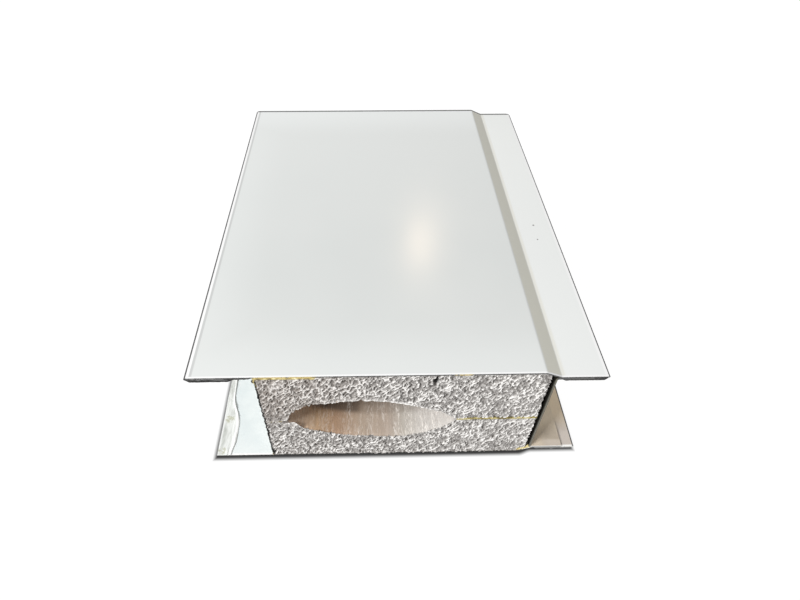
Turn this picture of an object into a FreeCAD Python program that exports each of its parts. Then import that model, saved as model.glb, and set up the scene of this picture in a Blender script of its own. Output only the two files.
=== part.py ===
"""Short length of an insulated sandwich panel with a tongue edge and a socket edge.

Axes: +X across the panel from the socket edge to the tongue edge, +Y along the panel
away from the sawn end, +Z up. The origin is the middle of the underside.

Every section is drawn in the XZ plane, with X measured from the socket edge and Z from
the underside, so that all its sizes are positive. Each body is then moved by half the
width and half the length.
"""
import FreeCAD, Part
import os

import Sketcher

# two points count as one below this distance, in millimetres
SAME_POINT = 1e-3
# share by which a cut's volume may differ from its section times the body's thickness,
# because the cut can meet a rounded edge
CUT_TOLERANCE = 0.1

DRIVING_SIZES = {
    # whole panel
    "panel_length": 180.0,
    "panel_width": 140.0,
    "panel_thickness": 51.6,
    "sheet_gauge": 0.5,
    # lips that stand out beyond the core
    "socket_lip": 22.0,
    "tongue_lip": 18.0,
    # inward step that both skins take on the tongue side
    "joggle_inset": 21.5,
    "joggle_run": 5.5,
    "joggle_depth": 2.4,
    "bend_radius": 1.0,
    # closed hem along the socket edge of the top skin
    "hem_width": 13.0,
    "hem_gap": 0.1,
    "hem_nose_radius": 0.5,
    "corner_radius": 2.0,
    # steel channel between the two stepped lips
    "channel_gauge": 0.8,
    "channel_flange": 13.0,
    "channel_bend": 0.4,
    "channel_clearance": 1.0,
    # two foam boards, glued to the skins and to each other
    "glue_gauge": 0.3,
    "lower_board": 22.8,
    # lens-shaped duct, half of it in each board
    "duct_left_tip": 28.5,
    "duct_right_tip": 91.7,
    "duct_upper_crown": 56.0,
    "duct_upper_rise": 13.3,
    "duct_lower_crown": 68.0,
    "duct_lower_drop": 10.7,
    # strip of protective film lapped over the bottom socket lip
    "film_lap_width": 6.0,
    "film_lap_gauge": 0.3,
}

DERIVED_SIZES = {
    "core_left": "socket_lip",
    "channel_back": "panel_width - tongue_lip",
    "core_right": "channel_back - channel_clearance",
    "ramp_start": "panel_width - joggle_inset",
    "ramp_end": "ramp_start + joggle_run",
    # how far a bend's corner moves from one face of a stepped sheet to the other
    "ramp_shift": "sheet_gauge * tan(atan(joggle_depth / joggle_run) / 2)",
    # height that the ramp has gained where the core ends
    "core_corner_drop": "joggle_depth * (core_right - ramp_start) / joggle_run",
    "board_bottom": "sheet_gauge + glue_gauge",
    "board_top": "panel_thickness - sheet_gauge - glue_gauge",
    "joint_bottom": "board_bottom + lower_board",
    "joint_top": "joint_bottom + glue_gauge",
    "channel_low": "joggle_depth + sheet_gauge",
    "channel_high": "panel_thickness - joggle_depth - sheet_gauge",
}


def make_sheet(document):
    """Spreadsheet 'sizes' with one aliased cell for each driving and derived size."""
    sheet = document.addObject("Spreadsheet::Sheet", "sizes")
    row = 1
    for name, value in DRIVING_SIZES.items():
        sheet.set("A%d" % row, name)
        sheet.set("B%d" % row, str(value))
        sheet.setAlias("B%d" % row, name)
        row += 1
    for name, formula in DERIVED_SIZES.items():
        sheet.set("A%d" % row, name)
        sheet.set("B%d" % row, "=" + formula)
        sheet.setAlias("B%d" % row, name)
        row += 1
    document.recompute()
    return sheet


def bound(formula):
    """The formula with each size's name turned into a reference to its cell."""
    words = formula.replace("(", " ( ").replace(")", " ) ").split()
    known = set(DRIVING_SIZES) | set(DERIVED_SIZES)
    return " ".join("sizes." + word if word in known else word for word in words)


def new_body(document, name):
    """Empty body at the panel's corner, half a width and half a length off the origin."""
    body = document.addObject("PartDesign::Body", name)
    body.Label = name
    body.setExpression("Placement.Base.x", bound("-1 * panel_width / 2"))
    body.setExpression("Placement.Base.y", bound("panel_length / 2"))
    return body


def new_sketch(body, name, role):
    """Sketch attached to one of the body's own origin planes, such as XZ_Plane."""
    sketch = body.newObject("Sketcher::SketchObject", name)
    plane = next(f for f in body.Origin.OriginFeatures if f.Role == role)
    sketch.AttachmentSupport = [(plane, "")]
    sketch.MapMode = "FlatFace"
    return sketch


def value_of(sketch, formula):
    """Number that a formula gives now."""
    value = sketch.evalExpression(bound(formula))
    return float(getattr(value, "Value", value))


def hold_point(sketch, edge, end, corner):
    """Fix one sketch point at a corner given as two formulas, bound to the sheet."""
    for kind, formula, axis in (("DistanceX", corner[0], -2), ("DistanceY", corner[1], -1)):
        if formula == "0":
            sketch.addConstraint(Sketcher.Constraint("PointOnObject", edge, end, axis))
            continue
        start_value = value_of(sketch, formula)
        constraint = Sketcher.Constraint(kind, -1, 1, edge, end, start_value)
        index = sketch.addConstraint(constraint)
        sketch.setExpression("Constraints[%d]" % index, bound(formula))


def draw_outline(sketch, corners):
    """Closed outline of straight lines through corners given as pairs of formulas."""
    points = [FreeCAD.Vector(value_of(sketch, a), value_of(sketch, b), 0)
              for a, b in corners]
    first = sketch.GeometryCount
    count = len(corners)
    for index in range(count):
        line = Part.LineSegment(points[index], points[(index + 1) % count])
        sketch.addGeometry(line, False)
    for index in range(count):
        after = (index + 1) % count
        sketch.addConstraint(
            Sketcher.Constraint("Coincident", first + index, 2, first + after, 1))
        hold_point(sketch, first + index, 1, corners[index])


def pad_along(body, sketch, name):
    """Pad the section over the whole panel length."""
    pad = body.newObject("PartDesign::Pad", name)
    pad.Profile = sketch
    pad.setExpression("Length", bound("panel_length"))
    sketch.Document.recompute()
    return pad


def long_edges(feature, spots):
    """Names of the feature's lengthwise edges that run through the (x, z) spots."""
    names = []
    for x, z in spots:
        for index, edge in enumerate(feature.Shape.Edges):
            ends = [vertex.Point for vertex in edge.Vertexes]
            if len(ends) == 2 and all(abs(p.x - x) + abs(p.z - z) < SAME_POINT for p in ends):
                names.append("Edge%d" % (index + 1))
    if len(names) != len(spots):
        raise RuntimeError("%s: found %d of %d edges" % (feature.Name, len(names), len(spots)))
    return names


def round_edges(body, feature, name, spots, radius):
    """Fillet the lengthwise edges at the (x, z) formulas with a bound radius."""
    places = [(value_of(feature, x), value_of(feature, z)) for x, z in spots]
    fillet = body.newObject("PartDesign::Fillet", name)
    fillet.Base = (feature, long_edges(feature, places))
    fillet.setExpression("Radius", bound(radius))
    body.Document.recompute()
    return fillet


def padded_section(document, name, corners):
    """Body with one straight section of the given corners, and its pad."""
    body = new_body(document, name)
    sketch = new_sketch(body, name + "_section", "XZ_Plane")
    draw_outline(sketch, corners)
    return body, pad_along(body, sketch, name + "_pad")


def draw_spandrel(sketch, corner, along, across):
    """Waste corner of a sheet: two straight sides and an arc of corner_radius.

    along and across give the signs of the directions from the corner into the sheet.
    """
    radius = value_of(sketch, "corner_radius")
    tip = FreeCAD.Vector(value_of(sketch, corner[0]), value_of(sketch, corner[1]), 0)
    side = tip + FreeCAD.Vector(along * radius, 0, 0)
    end = tip + FreeCAD.Vector(0, across * radius, 0)
    centre = tip + FreeCAD.Vector(along * radius, across * radius, 0)
    middle = centre + (tip - centre).normalize() * radius
    first = sketch.GeometryCount
    sketch.addGeometry(Part.LineSegment(tip, side), False)
    sketch.addGeometry(Part.Arc(side, middle, end), False)
    sketch.addGeometry(Part.LineSegment(end, tip), False)
    sketch.addConstraint(Sketcher.Constraint("Horizontal", first))
    sketch.addConstraint(Sketcher.Constraint("Vertical", first + 2))
    sketch.addConstraint(Sketcher.Constraint("Coincident", first + 2, 2, first, 1))
    hold_point(sketch, first, 1, corner)
    for line, line_end in ((first, 2), (first + 2, 1)):
        point_on_arc = nearest_arc_end(sketch, first + 1, line, line_end)
        sketch.addConstraint(
            Sketcher.Constraint("Tangent", line, line_end, first + 1, point_on_arc))
    index = sketch.addConstraint(Sketcher.Constraint("Radius", first + 1, radius))
    sketch.setExpression("Constraints[%d]" % index, bound("corner_radius"))


def nearest_arc_end(sketch, arc, line, line_end):
    """1 or 2, whichever end of the arc lies on the given end of the line."""
    target = sketch.getPoint(line, line_end)
    return min((1, 2), key=lambda end: sketch.getPoint(arc, end).distanceToPoint(target))


def cut_through(body, sketch, name, expected_less):
    """Pocket the sketch through the whole body and check that it takes material away."""
    before = body.Shape.Volume
    pocket = body.newObject("PartDesign::Pocket", name)
    pocket.Profile = sketch
    pocket.Type = "ThroughAll"
    pocket.Midplane = True
    body.Document.recompute()
    removed = before - pocket.Shape.Volume
    if abs(removed - expected_less) > CUT_TOLERANCE * expected_less:
        raise RuntimeError("%s took %.3f mm3, not %.3f" % (name, removed, expected_less))
    return pocket


def make_top_skin(document):
    """Prepainted sheet: hem folded under at the socket edge, step down at the tongue edge."""
    top = "panel_thickness"
    under = "panel_thickness - sheet_gauge"
    hem_top = "panel_thickness - sheet_gauge - hem_gap"
    hem_under = "panel_thickness - 2 * sheet_gauge - hem_gap"
    lip_top = "panel_thickness - joggle_depth"
    lip_under = "panel_thickness - joggle_depth - sheet_gauge"
    body, pad = padded_section(document, "top_skin", [
        ("0", top),
        ("ramp_start", top),
        ("ramp_end", lip_top),
        ("panel_width", lip_top),
        ("panel_width", lip_under),
        ("ramp_end - ramp_shift", lip_under),
        ("ramp_start - ramp_shift", under),
        ("sheet_gauge", under),
        ("sheet_gauge", hem_top),
        ("hem_width", hem_top),
        ("hem_width", hem_under),
        ("0", hem_under),
    ])
    nose = round_edges(body, pad, "hem_nose", [("0", top), ("0", hem_under)],
                       "hem_nose_radius")
    outer = round_edges(body, nose, "step_outer_bends", [
        ("ramp_start", top), ("ramp_end - ramp_shift", lip_under)],
        "bend_radius + sheet_gauge")
    round_edges(body, outer, "step_inner_bends", [
        ("ramp_end", lip_top), ("ramp_start - ramp_shift", under)], "bend_radius")
    corners = new_sketch(body, "rounded_corners", "XY_Plane")
    draw_spandrel(corners, ("0", "0"), 1, -1)
    draw_spandrel(corners, ("panel_width", "0"), -1, -1)
    spandrel = value_of(corners, "corner_radius * corner_radius * (1 - pi / 4)")
    layers = value_of(corners, "3 * sheet_gauge")
    cut_through(body, corners, "corner_cut", spandrel * layers)
    return body


def make_bottom_skin(document):
    """Prepainted sheet: plain at the socket edge, step up at the tongue edge."""
    body, pad = padded_section(document, "bottom_skin", [
        ("0", "0"),
        ("ramp_start", "0"),
        ("ramp_end", "joggle_depth"),
        ("panel_width", "joggle_depth"),
        ("panel_width", "joggle_depth + sheet_gauge"),
        ("ramp_end - ramp_shift", "joggle_depth + sheet_gauge"),
        ("ramp_start - ramp_shift", "sheet_gauge"),
        ("0", "sheet_gauge"),
    ])
    outer = round_edges(body, pad, "step_outer_bends", [
        ("ramp_start", "0"), ("ramp_end - ramp_shift", "joggle_depth + sheet_gauge")],
        "bend_radius + sheet_gauge")
    round_edges(body, outer, "step_inner_bends", [
        ("ramp_end", "joggle_depth"), ("ramp_start - ramp_shift", "sheet_gauge")],
        "bend_radius")
    return body


def make_edge_channel(document):
    """Steel channel that opens outwards between the stepped lips."""
    inner_low = "channel_low + channel_gauge"
    inner_high = "channel_high - channel_gauge"
    web_face = "channel_back + channel_gauge"
    flange_end = "channel_back + channel_flange"
    body, pad = padded_section(document, "edge_channel", [
        ("channel_back", "channel_low"),
        (flange_end, "channel_low"),
        (flange_end, inner_low),
        (web_face, inner_low),
        (web_face, inner_high),
        (flange_end, inner_high),
        (flange_end, "channel_high"),
        ("channel_back", "channel_high"),
    ])
    outer = round_edges(body, pad, "outer_bends", [
        ("channel_back", "channel_low"), ("channel_back", "channel_high")],
        "channel_bend + channel_gauge")
    round_edges(body, outer, "inner_bends", [
        (web_face, inner_low), (web_face, inner_high)], "channel_bend")
    return body


def draw_groove(sketch, crown):
    """Groove section: a straight mouth on the joint and two arcs that meet at the crown.

    Both arcs have their centres straight above or below the crown, so that they run into
    each other smoothly.
    """
    left = ("duct_left_tip", crown["mouth"])
    right = ("duct_right_tip", crown["mouth"])
    top = (crown["across"], crown["height"])
    draw_spots = [FreeCAD.Vector(value_of(sketch, a), value_of(sketch, b), 0)
                  for a, b in (left, right, top)]
    left_point, right_point, top_point = draw_spots
    first = sketch.GeometryCount
    sketch.addGeometry(Part.LineSegment(left_point, right_point), False)
    for start, finish in ((right_point, top_point), (top_point, left_point)):
        sketch.addGeometry(crown_arc(start, finish, top_point), False)
    hold_point(sketch, first, 1, left)
    hold_point(sketch, first, 2, right)
    ends = {
        "right": nearest_arc_end(sketch, first + 1, first, 2),
        "left": nearest_arc_end(sketch, first + 2, first, 1),
    }
    sketch.addConstraint(
        Sketcher.Constraint("Coincident", first + 1, ends["right"], first, 2))
    sketch.addConstraint(
        Sketcher.Constraint("Coincident", first + 2, ends["left"], first, 1))
    right_crown = 3 - ends["right"]
    left_crown = 3 - ends["left"]
    sketch.addConstraint(
        Sketcher.Constraint("Coincident", first + 1, right_crown, first + 2, left_crown))
    hold_point(sketch, first + 1, right_crown, top)
    for arc, arc_end in ((first + 1, right_crown), (first + 2, left_crown)):
        sketch.addConstraint(Sketcher.Constraint("Vertical", arc, 3, arc, arc_end))


def crown_arc(start, finish, crown):
    """Arc from start to finish whose centre is straight above or below the crown."""
    tip = finish if (start - crown).Length < SAME_POINT else start
    reach = tip.x - crown.x
    rise = tip.y - crown.y
    radius = (reach * reach + rise * rise) / (2 * abs(rise))
    centre = crown + FreeCAD.Vector(0, radius if rise > 0 else -radius, 0)
    middle = (start + finish) * 0.5 - centre
    return Part.Arc(start, centre + middle.normalize() * radius, finish)


def make_core_board(document, name, corners, crown):
    """Foam board with half of the duct as a groove in the face on the joint."""
    body, pad = padded_section(document, name, corners)
    sketch = new_sketch(body, name + "_groove", "XZ_Plane")
    draw_groove(sketch, crown)
    body.Document.recompute()
    groove_area = Part.Face(sketch.Shape.Wires[0]).Area
    cut_through(body, sketch, name + "_groove_cut",
                groove_area * value_of(sketch, "panel_length"))
    return body


def make_core_upper(document):
    """Upper foam board, its tongue-side corner cut back under the skin's step."""
    corners = [
        ("core_left", "joint_top"),
        ("core_right", "joint_top"),
        ("core_right", "board_top - core_corner_drop"),
        ("ramp_start", "board_top"),
        ("core_left", "board_top"),
    ]
    crown = {"mouth": "joint_top", "across": "duct_upper_crown",
             "height": "joint_top + duct_upper_rise"}
    return make_core_board(document, "core_upper", corners, crown)


def make_core_lower(document):
    """Lower foam board, its tongue-side corner cut back over the skin's step."""
    corners = [
        ("core_left", "board_bottom"),
        ("ramp_start", "board_bottom"),
        ("core_right", "board_bottom + core_corner_drop"),
        ("core_right", "joint_bottom"),
        ("core_left", "joint_bottom"),
    ]
    crown = {"mouth": "joint_bottom", "across": "duct_lower_crown",
             "height": "joint_bottom - duct_lower_drop"}
    return make_core_board(document, "core_lower", corners, crown)


def make_glue_top(document):
    """Glue film between the top skin and the upper board, following the step."""
    under = "panel_thickness - sheet_gauge"
    body, _ = padded_section(document, "glue_top", [
        ("core_left", "board_top"),
        ("ramp_start", "board_top"),
        ("core_right", "board_top - core_corner_drop"),
        ("core_right", "board_top - core_corner_drop + glue_gauge / 2"),
        ("ramp_start - ramp_shift", under),
        ("core_left", under),
    ])
    return body


def make_glue_bottom(document):
    """Glue film between the bottom skin and the lower board, following the step."""
    body, _ = padded_section(document, "glue_bottom", [
        ("core_left", "sheet_gauge"),
        ("ramp_start - ramp_shift", "sheet_gauge"),
        ("core_right", "board_bottom + core_corner_drop - glue_gauge / 2"),
        ("core_right", "board_bottom + core_corner_drop"),
        ("ramp_start", "board_bottom"),
        ("core_left", "board_bottom"),
    ])
    return body


def make_joint_glue(document, name, start, finish):
    """Strip of the glue film between the two boards, on one side of the duct."""
    body, _ = padded_section(document, name, [
        (start, "joint_bottom"),
        (finish, "joint_bottom"),
        (finish, "joint_top"),
        (start, "joint_top"),
    ])
    return body


def make_film_lap(document):
    """Strip of protective film lapped over the edge of the bottom socket lip."""
    lap_top = "sheet_gauge + film_lap_gauge"
    body, _ = padded_section(document, "film_lap", [
        ("0", "sheet_gauge"),
        ("film_lap_width", "sheet_gauge"),
        ("film_lap_width", lap_top),
        ("0", lap_top),
    ])
    return body


def check_document(document, bodies):
    """Stop with a plain message if an object failed or a solid isn't a single valid one."""
    for item in document.Objects:
        for state in ("Invalid", "Error"):
            if state in item.State:
                raise RuntimeError("%s is in state %s" % (item.Name, item.State))
    for body in bodies:
        shape = body.Shape
        if shape.isNull() or not shape.isValid() or len(shape.Solids) != 1:
            raise RuntimeError("%s is not one valid solid" % body.Label)


def main():
    """Build the document, check it and write one STEP file for each piece."""
    document = FreeCAD.newDocument("sandwich_panel")
    make_sheet(document)
    bodies = [
        make_top_skin(document),
        make_bottom_skin(document),
        make_core_upper(document),
        make_core_lower(document),
        make_glue_top(document),
        make_glue_bottom(document),
        make_joint_glue(document, "glue_joint_left", "core_left", "duct_left_tip"),
        make_joint_glue(document, "glue_joint_right", "duct_right_tip", "core_right"),
        make_edge_channel(document),
        make_film_lap(document),
    ]
    document.recompute()
    check_document(document, bodies)
    os.makedirs("parts", exist_ok=True)
    for body in bodies:
        body.Shape.exportStep("parts/%s.step" % body.Label)
        print("%-18s %10.1f mm3" % (body.Label, body.Shape.Volume))


main()
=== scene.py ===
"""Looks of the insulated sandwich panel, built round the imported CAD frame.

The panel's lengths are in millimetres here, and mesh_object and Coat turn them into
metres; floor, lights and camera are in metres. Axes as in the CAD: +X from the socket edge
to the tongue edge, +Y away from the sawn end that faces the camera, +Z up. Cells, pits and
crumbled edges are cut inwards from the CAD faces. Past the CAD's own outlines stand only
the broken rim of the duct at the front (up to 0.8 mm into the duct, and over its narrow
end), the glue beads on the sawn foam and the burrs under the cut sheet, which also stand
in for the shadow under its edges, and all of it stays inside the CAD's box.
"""

import math

import bmesh
import bpy
import numpy as np
from mathutils import Matrix, Vector


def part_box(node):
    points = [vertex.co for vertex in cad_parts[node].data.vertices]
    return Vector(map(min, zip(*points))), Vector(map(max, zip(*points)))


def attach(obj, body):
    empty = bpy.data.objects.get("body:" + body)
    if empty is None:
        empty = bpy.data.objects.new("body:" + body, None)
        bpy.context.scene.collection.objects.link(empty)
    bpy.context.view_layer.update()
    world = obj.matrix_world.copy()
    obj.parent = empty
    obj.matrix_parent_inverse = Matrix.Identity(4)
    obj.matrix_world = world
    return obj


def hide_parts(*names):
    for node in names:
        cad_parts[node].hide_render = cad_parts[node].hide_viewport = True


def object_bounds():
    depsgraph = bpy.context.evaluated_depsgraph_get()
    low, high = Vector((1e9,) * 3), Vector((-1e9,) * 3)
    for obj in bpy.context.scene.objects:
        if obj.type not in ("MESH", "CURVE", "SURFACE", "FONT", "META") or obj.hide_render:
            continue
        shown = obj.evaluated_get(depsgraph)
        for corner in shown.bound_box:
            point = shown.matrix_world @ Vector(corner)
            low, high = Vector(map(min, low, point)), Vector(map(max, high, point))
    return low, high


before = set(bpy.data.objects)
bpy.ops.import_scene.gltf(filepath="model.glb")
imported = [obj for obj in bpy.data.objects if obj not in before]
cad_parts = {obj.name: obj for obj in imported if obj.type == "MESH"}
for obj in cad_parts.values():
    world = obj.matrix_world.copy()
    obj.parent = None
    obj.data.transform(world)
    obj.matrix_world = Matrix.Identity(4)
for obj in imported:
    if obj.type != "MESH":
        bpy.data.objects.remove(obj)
cad_low, cad_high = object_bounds()

MM = 0.001


def box_mm(node):
    """Lowest and highest corner of a node, in millimetres."""
    return [[value / MM for value in corner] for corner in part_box(node)]


# Sheet gauge, the depth of the skins' step and the front saw cut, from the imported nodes.
sheet_gauge = box_mm("glue_bottom")[0][2]
lip_step = box_mm("bottom_skin")[1][2] - sheet_gauge
front_cut = cad_low[1] / MM

# Duct section: crowns of the two grooves, as the CAD boards have them.
UPPER_CROWN_X = -14.0
UPPER_RISE = 13.3
LOWER_CROWN_X = -2.0
LOWER_RISE = -10.7

# Where the skins' step starts and ends, in x.
RAMP_START, RAMP_END = 48.5, 54.0

HEM_WIDTH = 13.0
HEM_DEPTH = 1.1
CHANNEL_GAUGE = 0.8

# Sawn faces of the foam: spacing of their points, and size and depth of the cells.
FRONT_STEP = 0.22
BACK_STEP = 0.36
CELL_SIZE = 1.26
CELL_TALL = 1.6
CELL_DEPTH = 1.0
CELL_TURN = math.radians(37)

# Faults that the sawn front shows: a deep hole and where its glue squeezed out.
HOLE_X, HOLE_Z = 12.5, 47.4
HOLE_ACROSS, HOLE_UP, HOLE_DEPTH = 1.05, 1.95, 2.5
BEAD_END_X = -26.5

# Faults of the duct's rim at the front, in x: a ledge, a notch and an overhang of the
# upper board, and where crumbs of each board close the narrow end.
LEDGE_X, NOTCH_X = -34.9, -12.8
OVERHANG_FROM, OVERHANG_TO = -24, 12
UPPER_PLUG = (-40.9, -37.8)
LOWER_PLUG = (-37.4, -34.0)

# Dark stripe down the socket side of the sawn front: where it is wider, and by how much.
STRIPE_BULGES = ((40.7, 0.35), (18.1, 0.55), (2.6, 0.75))

# Where a board's outline is drawn again: behind the front, finely and then coarsely, and
# before the back.
RIM_STATIONS = (0.5, 1.1, 2.0)
NEAR_STATIONS = (3.5, 5.5, 8.5, 12.5, 17.5, 24.0, 32.0)
BACK_STATIONS = (6.0, 3.0, 1.4)

# Studio floor: a hair below the panel, with a painted contact shadow round the panel.
FLOOR_GAP = 0.6 * MM
CONTACT_FROM, CONTACT_TO = -0.2 * MM, 2.0 * MM

# Camera: lens, shift, pitch, yaw and roll in degrees, and place.
LENS, SENSOR = 24.342, 36.0
SHIFT_X, SHIFT_Y = 0.0264, 0.0057
CAMERA_TURN = (46.549, 1.533, 0.386)
CAMERA_PLACE = (-0.00960, -0.19404, 0.19511)


# ---------------- noise in numpy

def lattice(ix, iy, seed):
    """Repeatable random numbers from 0 to 1, one for each pair of whole numbers."""
    ix = ix.astype(np.int64).astype(np.uint64)
    iy = iy.astype(np.int64).astype(np.uint64)
    mixed = ix * np.uint64(0x9E3779B97F4A7C15) + iy * np.uint64(0xC2B2AE3D27D4EB4F)
    mixed += np.uint64(seed * 7919 + 13)
    mixed ^= mixed >> np.uint64(29)
    mixed *= np.uint64(0xBF58476D1CE4E5B9)
    mixed ^= mixed >> np.uint64(32)
    mixed *= np.uint64(0x94D049BB133111EB)
    mixed ^= mixed >> np.uint64(29)
    return (mixed >> np.uint64(40)).astype(float) / float(1 << 24)


def smoothstep(low, high, value):
    """0 below low, 1 above high and a smooth rise between them."""
    t = np.clip((value - low) / (high - low), 0.0, 1.0)
    return t * t * (3 - 2 * t)


def fall_off(low, high, value):
    """1 below low, 0 above high and a smooth fall between them."""
    return 1 - smoothstep(low, high, value)


def window(value, low, high, soft):
    """1 between low and high, 0 outside, with soft flanks."""
    return smoothstep(low - soft, low + soft, value) * fall_off(high - soft, high + soft, value)


def hump(value, centre, width):
    """Bell curve: 1 at the centre, falling away over the width."""
    return np.exp(-((value - centre) / width) ** 2)


def soft_noise(x, y, seed):
    """Smooth noise from -1 to 1 with a wavelength of about one unit."""
    x, y = np.broadcast_arrays(np.asarray(x, float), np.asarray(y, float))
    ix, iy = np.floor(x), np.floor(y)
    fx, fy = x - ix, y - iy
    fx, fy = fx * fx * (3 - 2 * fx), fy * fy * (3 - 2 * fy)
    lower = lattice(ix, iy, seed) * (1 - fx) + lattice(ix + 1, iy, seed) * fx
    upper = lattice(ix, iy + 1, seed) * (1 - fx) + lattice(ix + 1, iy + 1, seed) * fx
    return (lower * (1 - fy) + upper * fy) * 2 - 1


def layered_noise(x, y, seed, layers=4):
    """Several octaves of soft_noise, from about -1 to 1."""
    total = 0.0
    for octave in range(layers):
        scale = 2.0 ** octave
        total = total + soft_noise(x * scale, y * scale, seed + 31 * octave) / scale
    return total / 1.6


def rise_noise(x, y, seed, layers):
    """The same, from about 0 to 1."""
    return 0.5 + 0.5 * layered_noise(x, y, seed, layers)


def cells(x, y, seed):
    """Random cells about one unit wide: distances to the nearest two seeds and a tone."""
    ix, iy = np.floor(x), np.floor(y)
    nearest = np.full(x.shape, 9.0)
    second = np.full(x.shape, 9.0)
    tone = np.zeros(x.shape)
    for dx in (-1, 0, 1):
        for dy in (-1, 0, 1):
            cx, cy = ix + dx, iy + dy
            px = cx + 0.5 + 0.85 * (lattice(cx, cy, seed) - 0.5)
            py = cy + 0.5 + 0.85 * (lattice(cx, cy, seed + 1) - 0.5)
            distance = np.hypot(px - x, py - y)
            closer = distance < nearest
            second = np.where(closer, nearest, np.minimum(second, distance))
            tone = np.where(closer, lattice(cx, cy, seed + 2), tone)
            nearest = np.where(closer, distance, nearest)
    return nearest, second, tone


# ---------------- mesh helpers

def as_points(x, y, z):
    """Points from coordinates that are arrays or single numbers."""
    return np.stack(np.broadcast_arrays(x, y, z), axis=-1)


def shares(columns, rows):
    """Shares from 0 to 1, across and up, for the points of a grid."""
    return np.meshgrid(np.linspace(0, 1, columns + 1), np.linspace(0, 1, rows + 1))


def mesh_object(name, points, faces, smooth_angle=None):
    """Object from points in millimetres and faces, with outward normals."""
    mesh = bpy.data.meshes.new(name)
    mesh.from_pydata([tuple(p) for p in np.asarray(points) * MM], [], faces)
    mesh.update()
    shell = bmesh.new()
    shell.from_mesh(mesh)
    bmesh.ops.recalc_face_normals(shell, faces=shell.faces)
    shell.to_mesh(mesh)
    shell.free()
    if smooth_angle is not None:
        mesh.shade_smooth()
        mesh.set_sharp_from_angle(angle=math.radians(smooth_angle))
    item = bpy.data.objects.new(name, mesh)
    bpy.context.scene.collection.objects.link(item)
    return item


def store_attribute(item, name, values):
    """One number for each vertex, for a material to read."""
    attribute = item.data.attributes.new(name, "FLOAT", "POINT")
    attribute.data.foreach_set("value", np.asarray(values, np.float32))


def put_on(item, material, slot, *nodes):
    """Give a piece its material and its body, and hide the nodes it stands for; slot is not
    used.
    """
    item.data.materials.clear()
    item.data.materials.append(material)
    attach(item, "root")
    if nodes:
        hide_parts(*nodes)
    return item


def grid_faces(columns, rows, first=0):
    """Quads of a grid of (columns + 1) by (rows + 1) points, stored row by row."""
    across = columns + 1
    quads = []
    for row in range(rows):
        start = first + row * across
        for column in range(columns):
            a = start + column
            quads.append((a, a + 1, a + across + 1, a + across))
    return quads


def rim_of_grid(columns, rows):
    """Index of each rim point of such a grid, once round from the lower left corner."""
    across = columns + 1
    bottom = list(range(columns))
    right = [row * across + columns for row in range(rows)]
    top = [rows * across + column for column in range(columns, 0, -1)]
    left = [row * across for row in range(rows, 0, -1)]
    return bottom + right + top + left


def ring_faces(first_ring, second_ring):
    """Quads between two closed rings with the same number of points."""
    count = len(first_ring)
    return [(first_ring[i], first_ring[(i + 1) % count],
             second_ring[(i + 1) % count], second_ring[i]) for i in range(count)]


def zip_sides(first_side, second_side):
    """Triangles between two open rows of points that start and end together."""
    faces = []
    i = j = 0
    last_i, last_j = len(first_side) - 1, len(second_side) - 1
    while i < last_i or j < last_j:
        step_first = j == last_j or (i < last_i and (i + 1) / last_i <= (j + 1) / last_j)
        if step_first:
            faces.append((first_side[i], first_side[i + 1], second_side[j]))
            i += 1
        else:
            faces.append((first_side[i], second_side[j + 1], second_side[j]))
            j += 1
    return faces


def zip_rings(first_ring, first_counts, second_ring, second_counts):
    """Triangles between two rings whose four sides have different numbers of points."""
    faces = []
    a = b = 0
    for first_count, second_count in zip(first_counts, second_counts):
        faces += zip_sides(
            [first_ring[(a + k) % len(first_ring)] for k in range(first_count + 1)],
            [second_ring[(b + k) % len(second_ring)] for k in range(second_count + 1)])
        a += first_count
        b += second_count
    return faces


def section_rings(x, section):
    """Rings over x from a section's corners, each a pair of y and z over x."""
    return np.stack([as_points(x, y, z) for y, z in section], axis=1)


def loft(name, rings, smooth_angle=50):
    """Closed solid through a row of closed rings that all have the same number of points."""
    count = len(rings[0])
    indices = [list(range(k * count, (k + 1) * count)) for k in range(len(rings))]
    faces = [tuple(indices[0]), tuple(indices[-1])]
    for first_ring, second_ring in zip(indices, indices[1:]):
        faces += ring_faces(first_ring, second_ring)
    return mesh_object(name, np.concatenate(rings), faces, smooth_angle)


# ---------------- foam boards

def groove(x, mouth, crown_x, rise, left_tip, right_tip):
    """Height of the duct's wall over x: two arcs that meet at the crown."""
    reach = np.where(x < crown_x, crown_x - left_tip, right_tip - crown_x)
    radius = (reach ** 2 + rise ** 2) / (2 * abs(rise))
    fall = radius - np.sqrt(np.maximum(radius ** 2 - (x - crown_x) ** 2, 0.0))
    return mouth + math.copysign(1.0, rise) * np.maximum(abs(rise) - fall, 0.0)


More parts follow.
